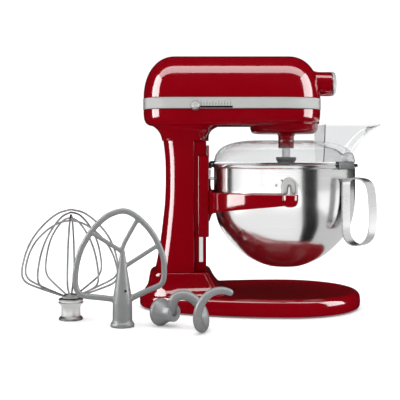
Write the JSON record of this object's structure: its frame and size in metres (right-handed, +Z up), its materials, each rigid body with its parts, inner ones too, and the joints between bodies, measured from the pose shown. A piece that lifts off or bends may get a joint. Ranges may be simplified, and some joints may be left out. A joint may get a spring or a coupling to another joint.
{
  "type": "stand mixer",
  "caption": "Bowl-lift stand mixer with a planetary drive, steel bowl, clear pouring shield, hub and loose mixing tools.",
  "frame": {"origin": "on the worktop, at the centre of the middle foot's underside", "axes": "+X toward the front, where the hub is; +Z up; the mixer is symmetric about Y = 0 apart from its controls"},
  "size_m": [0.5745, 0.4125, 0.419],
  "materials": {
    "red_paint": "high gloss metallic red enamel",
    "satin_metal": "satin",
    "polished_steel": "polished",
    "coated_tool": "satin grey coating",
    "clear_plastic": "clear, glossy",
    "dark_rubber": "matt",
    "black_plastic": "glossy",
    "circuit_board": "matt",
    "copper": "drawn copper",
    "laminated_core": "bare laminated steel",
    "brass": "machined",
    "carbon": "pressed carbon"
  },
  "bodies": {
    "mixer": {"base": "red_paint", "base_plate": "satin_metal", "brush_left": "carbon", "brush_right": "carbon", "column": "red_paint", "control_board": "circuit_board", "cord_gland": "dark_rubber", "foot_centre": "dark_rubber", "foot_front_left": "dark_rubber", "foot_front_right": "dark_rubber", "foot_rear_left": "dark_rubber", "foot_rear_right": "dark_rubber", "front_bearing": "polished_steel", "gearbox_plate": "satin_metal", "hub_shaft_support": "satin_metal", "lower_housing": "red_paint", "motor_stator": "laminated_core", "rear_bearing": "polished_steel", "rear_bearing_holder": "satin_metal", "ring_gear": "polished_steel", "shaft_bush": "brass", "slide_rail_left": "polished_steel", "slide_rail_right": "polished_steel", "stator_cradle": "black_plastic", "trim_band": "satin_metal", "upper_housing": "red_paint"},
    "speed_lever": {"speed_knob": "black_plastic", "speed_slider": "polished_steel"},
    "planetary": {"planet_carrier": "red_paint", "centre_shaft": "polished_steel", "bevel_gear": "polished_steel"},
    "tool_spindle": {"tool_shaft": "polished_steel", "planet_pinion": "polished_steel", "fitted_beater": "polished_steel"},
    "hub_drive": {"hub_shaft": "polished_steel", "hub_gear": "laminated_core", "bevel_pinion": "polished_steel"},
    "motor_rotor": {"motor_shaft": "polished_steel", "armature": "copper", "commutator": "copper", "cooling_fan": "black_plastic"},
    "carriage": {"bowl_yoke": "red_paint", "latch_spring": "polished_steel"},
    "lever": {"lever_shaft": "polished_steel", "lift_lever": "satin_metal", "lever_grip": "black_plastic"},
    "mixing_bowl": {"bowl": "polished_steel", "bowl_ear_left": "satin_metal", "bowl_ear_right": "satin_metal", "bowl_handle": "polished_steel", "rear_stud": "polished_steel"},
    "shield": {"pouring_shield": "clear_plastic", "shield_clip_rear": "dark_rubber", "shield_clip_front": "dark_rubber"},
    "cap": {"hub_cap": "satin_metal"},
    "clamp_knob": {"hub_knob": "black_plastic"},
    "beater": {"flat_beater": "coated_tool"},
    "whisk": {"whisk_hub": "coated_tool", "whisk_wires": "polished_steel"},
    "hook": {"dough_hook": "coated_tool"}
  },
  "joints": [
    {"name": "speed_set", "type": "slide", "parent": "mixer", "child": "speed_lever", "axis": [1, 0, 0], "range_m": [0, 0.056]},
    {"name": "motor_spin", "type": "hinge", "parent": "mixer", "child": "motor_rotor", "pos_m": [0, 0, 0.3428], "axis": [1, 0, 0], "continuous": true},
    {"name": "hub_spin", "type": "hinge", "parent": "mixer", "child": "hub_drive", "pos_m": [0.15, 0, 0.3728], "axis": [1, 0, 0], "continuous": true},
    {"name": "planetary_spin", "type": "hinge", "parent": "mixer", "child": "planetary", "pos_m": [0.165, 0, 0.293], "axis": [0, 0, 1], "continuous": true},
    {"name": "tool_spin", "type": "hinge", "parent": "planetary", "child": "tool_spindle", "pos_m": [0.165, -0.036, 0.293], "axis": [0, 0, 1], "continuous": true},
    {"name": "bowl_lift", "type": "slide", "parent": "mixer", "child": "carriage", "axis": [0, 0, 1], "range_m": [-0.038, 0]},
    {"name": "lift_lever_turn", "type": "hinge", "parent": "mixer", "child": "lever", "pos_m": [0.014, 0.056, 0.17], "axis": [0, -1, 0], "range_deg": [0, 78.7]},
    {"name": "bowl_off", "type": "slide", "parent": "carriage", "child": "mixing_bowl", "axis": [0, 0, 1], "range_m": [0, 0.007]},
    {"name": "shield_off", "type": "slide", "parent": "mixing_bowl", "child": "shield", "axis": [0, 0, 1], "range_m": [0, 0.012]},
    {"name": "hub_cap_open", "type": "hinge", "parent": "mixer", "child": "cap", "pos_m": [0.246, 0, 0.3948], "axis": [0, -1, 0], "range_deg": [0, 110]},
    {"name": "hub_knob_turn", "type": "hinge", "parent": "mixer", "child": "clamp_knob", "pos_m": [0.23, 0.026, 0.3728], "axis": [0, 1, 0], "range_deg": [0, 270]},
    {"name": "beater_pick_up", "type": "slide", "parent": "mixer", "child": "beater", "axis": [0, 0, 1], "range_m": [0, 0.12]},
    {"name": "whisk_pick_up", "type": "slide", "parent": "mixer", "child": "whisk", "axis": [0, 0, 1], "range_m": [0, 0.12]},
    {"name": "hook_pull_away", "type": "slide", "parent": "mixer", "child": "hook", "axis": [0, -1, 0], "range_m": [0, 0.08]}
  ],
  "couplings": [
    {"joint": "hub_spin", "follows": "motor_spin", "ratio": -0.25},
    {"joint": "planetary_spin", "follows": "motor_spin", "ratio": -0.1},
    {"joint": "tool_spin", "follows": "motor_spin", "ratio": 0.35},
    {"joint": "lift_lever_turn", "follows": "bowl_lift", "rad_per_m": -36.1}
  ]
}
